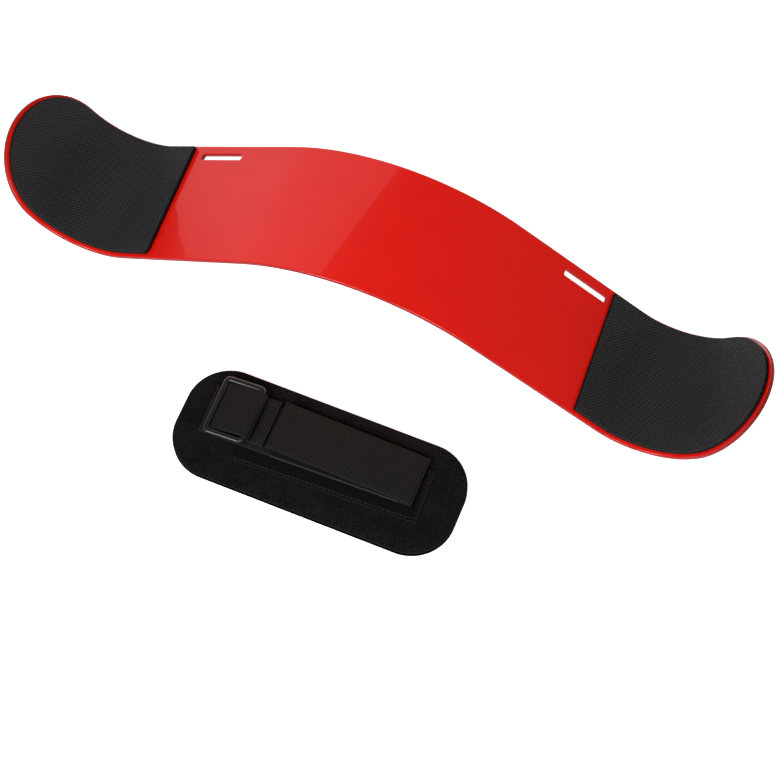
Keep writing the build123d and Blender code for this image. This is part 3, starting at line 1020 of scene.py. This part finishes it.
def embossed_foam():
    """Elbow pad foam: matt, with fine crossed lines pressed into it and a closed-cell grain; painted shade darkens
    the pressed lines.
    """
    p = settings().elbow_pad
    material, tree, principled = shader("embossed_foam", Roughness=0.72, Specular_IOR_Level=0.35)
    coords = place(tree, "UV")
    x, y = along_and_across(tree)
    slant = 0.8
    lines = [ridges(tree, weighted(tree, x, cos(slant), y, turn * sin(slant)), p.pitch) for turn in (-1, 1)]
    relief = weighted(tree, lines[0], 0.5, lines[1], 0.5)
    relief = maths(tree, "POWER", relief, 2.0)
    grain = noise(tree, coords, 1900.0, 3.0)
    # Painted shade: the colour drops in the pressed lines and rises between them, besides the bump.
    tone = weighted(tree, relief, 0.85, grain, 0.15)
    paint(tree, principled, tone, p.foam, 0.2, 2.1)
    soft = bump(tree, principled, grain, 0.00008, 0.5)
    bump(tree, principled, relief, 0.0006, 1.0, soft)
    return material


def shaded_foam_wall():
    """Side walls of an elbow pad's foam: painted darker than its face as shade on the walls, with small cells."""
    p = settings().elbow_pad
    material, tree, principled = shader("shaded_foam_wall", Roughness=0.9, Specular_IOR_Level=0.1)
    cells = noise(tree, place(tree), 1700.0, 2.0)
    paint(tree, principled, cells, p.foam, 0.3, 0.8)
    bump(tree, principled, cells, 0.0001, 0.6)
    return material


def adhesive():
    """Clear tacky film at the edge of an elbow pad."""
    material, tree, principled = shader("adhesive_film", Roughness=0.35)
    tone = noise(tree, place(tree), 900.0)
    dark, pale = (0.16, 0.15, 0.14), (0.3, 0.29, 0.27)
    tree.links.new(mixed(tree, tone, dark, pale), principled.inputs["Base Color"])
    return material


def brushed_nap():
    """Brushed face of the neck pad: very dark soft pile with faint cloudy strokes."""
    p = settings().neck_pad
    material, tree, principled = fuzz("brushed_nap", 0.95, 0.12, 0.03, 0.45)
    coords = place(tree)
    cloud = noise(tree, coords, 42.0, 4.0)
    pile = noise(tree, coords, 1100.0, 2.0)
    tone = weighted(tree, cloud, 0.25, pile, 0.75)
    tone = ranged(tree, tone, -1.3, 2.2)
    paint(tree, principled, tone, p.face, 0.1, 3.0)
    bump(tree, principled, pile, 0.00012, 0.8)
    return material


def knit_lining():
    """Knitted lining of the neck pad: small rows of loops."""
    p = settings().neck_pad
    material, tree, principled = fuzz("knit_lining", 0.95, 0.05, 0.02, 0.5)
    x, y = along_and_across(tree, "Object")
    knit = maths(tree, "MULTIPLY", ridges(tree, x, 1.1 * MM), ridges(tree, y, 0.8 * MM))
    paint(tree, principled, knit, p.face, 0.6, 1.8)
    bump(tree, principled, knit, 0.0002, 0.8)
    return material


def core_foam():
    """Cut edge of the neck pad's foam: matt with small cells."""
    p = settings().neck_pad
    material, tree, principled = shader("core_foam", Roughness=1.0, Specular_IOR_Level=0.0)
    cells = noise(tree, place(tree), 1500.0, 3.0)
    paint(tree, principled, cells, p.foam, 0.1, 0.5)
    bump(tree, principled, cells, 0.0002, 0.7)
    return material


def ribbed_webbing():
    """Webbing: dark yarn that runs across the ribs, with painted shade in the grooves between the ribs, so the crowns
    are lighter.
    """
    s = settings().strap
    material, tree, principled = fuzz("ribbed_webbing", 0.6, 0.22, 0.05, 0.4)
    coords = place(tree, "UV")
    along, across = along_and_across(tree)
    rib = ridges(tree, along, s.rib_pitch)
    yarn = ridges(tree, maths(tree, "ADD", across, maths(tree, "MULTIPLY", along, 0.3)), 0.7 * MM)
    fibre = noise(tree, coords, 2200.0, 3.0)
    # Painted shade: the colour falls nearly to black in the grooves between ribs and is lightest on their crowns.
    tone = maths(tree, "MULTIPLY", maths(tree, "POWER", rib, 2.2), ranged(tree, yarn, 0.3, 1.0))
    tone = maths(tree, "MULTIPLY", tone, ranged(tree, fibre, 0.6, 1.2))
    paint(tree, principled, tone, s.yarn, 0.03, 4.0)
    soft = bump(tree, principled, fibre, 0.00005, 0.5)
    bump(tree, principled, yarn, 0.00012, 0.8, soft)
    return material


def plain_weave():
    """Fine plain weave of the carrier strip, with lighter piping along its edges and its hem."""
    s = settings().strap
    material, tree, principled = fuzz("plain_weave", 0.75, 0.12, 0.02, 0.4)
    along, sideways = along_and_across(tree)
    weave = maths(tree, "MULTIPLY", ridges(tree, along, 0.7 * MM), ridges(tree, sideways, 0.7 * MM))
    across, edge = maths(tree, "ABSOLUTE", sideways), s.base_width / 2
    outer, inner = band(tree, across, edge - 0.5 * MM, 0.8 * MM), band(tree, across, edge - 3.2 * MM, 0.7 * MM)
    piping = maths(tree, "MAXIMUM", outer, inner)
    piping = maths(tree, "MAXIMUM", piping, band(tree, along, s.base_length, 1.8 * MM))
    tone = weighted(tree, weave, 0.2, piping, 0.8)
    paint(tree, principled, tone, s.carrier, 0.4, 7.0)
    soft = bump(tree, principled, weave, 0.00015, 0.8)
    bump(tree, principled, piping, 0.0004, 0.8, soft)
    return material


def sewing_thread():
    """Twisted sewing thread."""
    s = settings().strap
    material, tree, principled = shader("sewing_thread", Roughness=0.45)
    inputs = {"Vector": place(tree), "Scale": 900.0, "Distortion": 1.0}
    twist = node(tree, "ShaderNodeTexWave", inputs, bands_direction="DIAGONAL").outputs["Fac"]
    paint(tree, principled, twist, s.thread, 0.6, 1.4)
    bump(tree, principled, twist, 0.00005, 0.7)
    return material


def loop_pile():
    """Soft half of the fastener: matted loops with a painted highlight along both edges, where the raised edge
    catches light.
    """
    s = settings().strap
    material, tree, principled = fuzz("loop_pile", 0.9, 0.15, 0.05, 0.5)
    coords = place(tree, "UV")
    pile = noise(tree, coords, 1700.0, 4.0, 0.7)
    _, across = along_and_across(tree)
    # Painted highlight: a light band along both edges of the tape.
    selvedge = band(tree, maths(tree, "ABSOLUTE", across), s.tape_width / 2 - 0.4 * MM, 1.0 * MM)
    tone = weighted(tree, pile, 0.12, selvedge, 0.88)
    edge_highlight_colour = (0.045, 0.045, 0.043)
    tree.links.new(mixed(tree, tone, shade(s.yarn, 0.3), edge_highlight_colour), principled.inputs["Base Color"])
    bump(tree, principled, pile, 0.0004, 1.0)
    return material


def hook_nylon():
    """Hooked half of the fastener: shiny nylon with rows of hooks."""
    s = settings().strap
    material, tree, principled = shader("hook_nylon", Roughness=0.32)
    along, across = along_and_across(tree)
    hooks = maths(tree, "MULTIPLY", ridges(tree, along, 1.3 * MM), ridges(tree, across, 1.6 * MM))
    paint(tree, principled, hooks, s.yarn, 0.6, 2.0)
    bump(tree, principled, hooks, 0.0003, 1.0)
    return material


def ring_plastic():
    """Moulded ring: satin black with a faint mould grain."""
    r = settings().ring
    material, tree, principled = shader("ring_plastic", Roughness=0.3, Coat_Weight=0.25, Coat_Roughness=0.15)
    coords = place(tree)
    grain = noise(tree, coords, 1400.0, 2.0)
    paint(tree, principled, grain, r.shell, 0.8, 1.25)
    tree.links.new(ranged(tree, noise(tree, coords, 300.0), 0.24, 0.38), principled.inputs["Roughness"])
    bump(tree, principled, grain, 0.00003, 0.5)
    return material


# ---------------------------------------------------------------------------
# Studio


def floor_paint():
    """Plain pale floor."""
    material, tree, principled = shader("pale_floor", Roughness=0.9, Specular_IOR_Level=0.1)
    tone = noise(tree, place(tree), 3.0, 2.0)
    s = settings().studio
    principled.inputs["Emission Color"].default_value = (1, 1, 1, 1)
    principled.inputs["Emission Strength"].default_value = s.glow
    paint(tree, principled, tone, s.floor, 0.995, 1.005)
    return material


def area_light(name, position, axes, width, height, power):
    """Soft rectangular light at a position, that shines against the third of its axes."""
    lamp = bpy.data.lights.new(name, "AREA")
    lamp.shape = "RECTANGLE"
    lamp.size, lamp.size_y = width, height
    lamp.energy = power
    held = bpy.data.objects.new(name, lamp)
    held.location = position
    held.rotation_euler = axes.to_euler()
    bpy.context.scene.collection.objects.link(held)


def build_studio():
    """Floor, even sky, soft lights and the camera."""
    s = settings().studio
    scene = bpy.context.scene
    reach, level = 6.0, -0.4 * MM
    corners = [[-reach, -reach, level], [reach, -reach, level], [reach, reach, level], [-reach, reach, level]]
    floor = new_piece("floor", corners, np.array([[0, 1, 2, 3]]), floor_paint(), level_normals=False)
    world = bpy.data.worlds.new("even_sky")
    scene.world = world
    world.use_nodes = True
    background = world.node_tree.nodes["Background"]
    background.inputs["Color"].default_value = (1, 1, 1, 1)
    background.inputs["Strength"].default_value = s.sky
    centre = Vector(s.target)
    crown = Vector((0, node_middle("plate").y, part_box("plate")[1].z))
    panel_length, panel_width, key_size = 1.5, 1.3, 1.2
    panel_edge = Vector((0.751, 0.529, 0.396)).normalized()
    panel_facing = Vector((-0.62, 0.369, 0.69)).normalized()
    side = panel_facing.cross(panel_edge)
    edge_point = crown + Vector((-0.5, 0.58, 1.122))
    middle = edge_point - panel_edge * 0.45 + side * 0.65
    panel_axes = Matrix((panel_edge, side, panel_facing)).transposed()
    area_light("back_panel", middle, panel_axes, panel_length, panel_width, s.panel)
    keys = (("left_key", (-0.8, -1.5, 1.6), s.left_key), ("right_key", (1.0, -1.4, 1.5), s.right_key))
    for name, position, power in keys:
        facing = (Vector(position) - centre).to_track_quat("Z", "Y").to_matrix()
        area_light(name, position, facing, key_size, key_size, power)
    back = Vector((sin(s.azimuth) * cos(s.elevation), -cos(s.azimuth) * cos(s.elevation), sin(s.elevation)))
    lens = bpy.data.cameras.new("camera")
    lens.lens = s.lens
    lens.sensor_width = 36.0
    camera = bpy.data.objects.new("camera", lens)
    camera.location = centre + back * s.distance
    camera.rotation_euler = (-back).to_track_quat("-Z", "Y").to_euler()
    scene.collection.objects.link(camera)
    scene.camera = camera
    scene.view_settings.view_transform = "Standard"


# ---------------------------------------------------------------------------
# Operators and panel


class BuildStep:
    """What the operators share: each runs the function that builds its pieces."""

    def execute(self, context):
        self.build()
        return {"FINISHED"}


class CURLBRACE_OT_strip(BuildStep, bpy.types.Operator):
    """Build the metal strip"""

    bl_idname = "curlbrace.strip"
    bl_label = "Metal strip"
    build = staticmethod(build_strip)


class CURLBRACE_OT_elbow_pads(BuildStep, bpy.types.Operator):
    """Build both elbow pads and finish their adhesive films"""

    bl_idname = "curlbrace.elbow_pads"
    bl_label = "Elbow pads"
    build = staticmethod(build_elbow_pads)


class CURLBRACE_OT_neck_pad(BuildStep, bpy.types.Operator):
    """Build the three layers of the neck pad"""

    bl_idname = "curlbrace.neck_pad"
    bl_label = "Neck pad"
    build = staticmethod(build_neck_pad)


class CURLBRACE_OT_carrier(BuildStep, bpy.types.Operator):
    """Build the carrier strip sewn to the neck pad"""

    bl_idname = "curlbrace.carrier"
    bl_label = "Carrier strip"
    build = staticmethod(build_carrier)


class CURLBRACE_OT_strap(BuildStep, bpy.types.Operator):
    """Build the folded webbing strap and the loop round the ring's bar"""

    bl_idname = "curlbrace.strap"
    bl_label = "Webbing strap"
    build = staticmethod(build_webbing)


class CURLBRACE_OT_fastener(BuildStep, bpy.types.Operator):
    """Build the two halves of the hook-and-loop fastener"""

    bl_idname = "curlbrace.fastener"
    bl_label = "Fastener"
    build = staticmethod(build_fasteners)


class CURLBRACE_OT_ring(BuildStep, bpy.types.Operator):
    """Build the rectangular ring"""

    bl_idname = "curlbrace.ring"
    bl_label = "Ring"
    build = staticmethod(build_ring)


class CURLBRACE_OT_seams(BuildStep, bpy.types.Operator):
    """Build the stitches of every seam"""

    bl_idname = "curlbrace.seams"
    bl_label = "Seams"
    build = staticmethod(build_seams)


class CURLBRACE_OT_studio(BuildStep, bpy.types.Operator):
    """Build the floor, the lights and the camera"""

    bl_idname = "curlbrace.studio"
    bl_label = "Studio"
    build = staticmethod(build_studio)


OPERATORS = (
    CURLBRACE_OT_studio,
    CURLBRACE_OT_strip,
    CURLBRACE_OT_elbow_pads,
    CURLBRACE_OT_neck_pad,
    CURLBRACE_OT_carrier,
    CURLBRACE_OT_strap,
    CURLBRACE_OT_fastener,
    CURLBRACE_OT_ring,
    CURLBRACE_OT_seams,
)


class CURLBRACE_PT_panel(bpy.types.Panel):
    """Settings and build steps of the arm curl brace"""

    bl_idname = "CURLBRACE_PT_panel"
    bl_label = "Curl Brace"
    bl_space_type = "VIEW_3D"
    bl_region_type = "UI"
    bl_category = "Curl Brace"

    def draw(self, context):
        layout = self.layout
        for operator in OPERATORS:
            layout.operator(operator.bl_idname)
        for name, group in SETTING_GROUPS.items():
            box = layout.box()
            box.label(text=name.replace("_", " ").capitalize())
            for field in group.__annotations__:
                box.prop(getattr(settings(), name), field)


CLASSES = (*SETTING_GROUPS.values(), CurlBraceSettings, *OPERATORS, CURLBRACE_PT_panel)


def register():
    """Register every class and the scene's settings."""
    for cls in CLASSES:
        bpy.utils.register_class(cls)
    setattr(bpy.types.Scene, SETTINGS, PointerProperty(type=CurlBraceSettings))


def unregister():
    """Remove the scene's settings and every class."""
    delattr(bpy.types.Scene, SETTINGS)
    for cls in reversed(CLASSES):
        bpy.utils.unregister_class(cls)


def main():
    register()
    for operator in OPERATORS:
        group, name = operator.bl_idname.split(".")
        getattr(getattr(bpy.ops, group), name)()


if __name__ == "__main__":
    main()
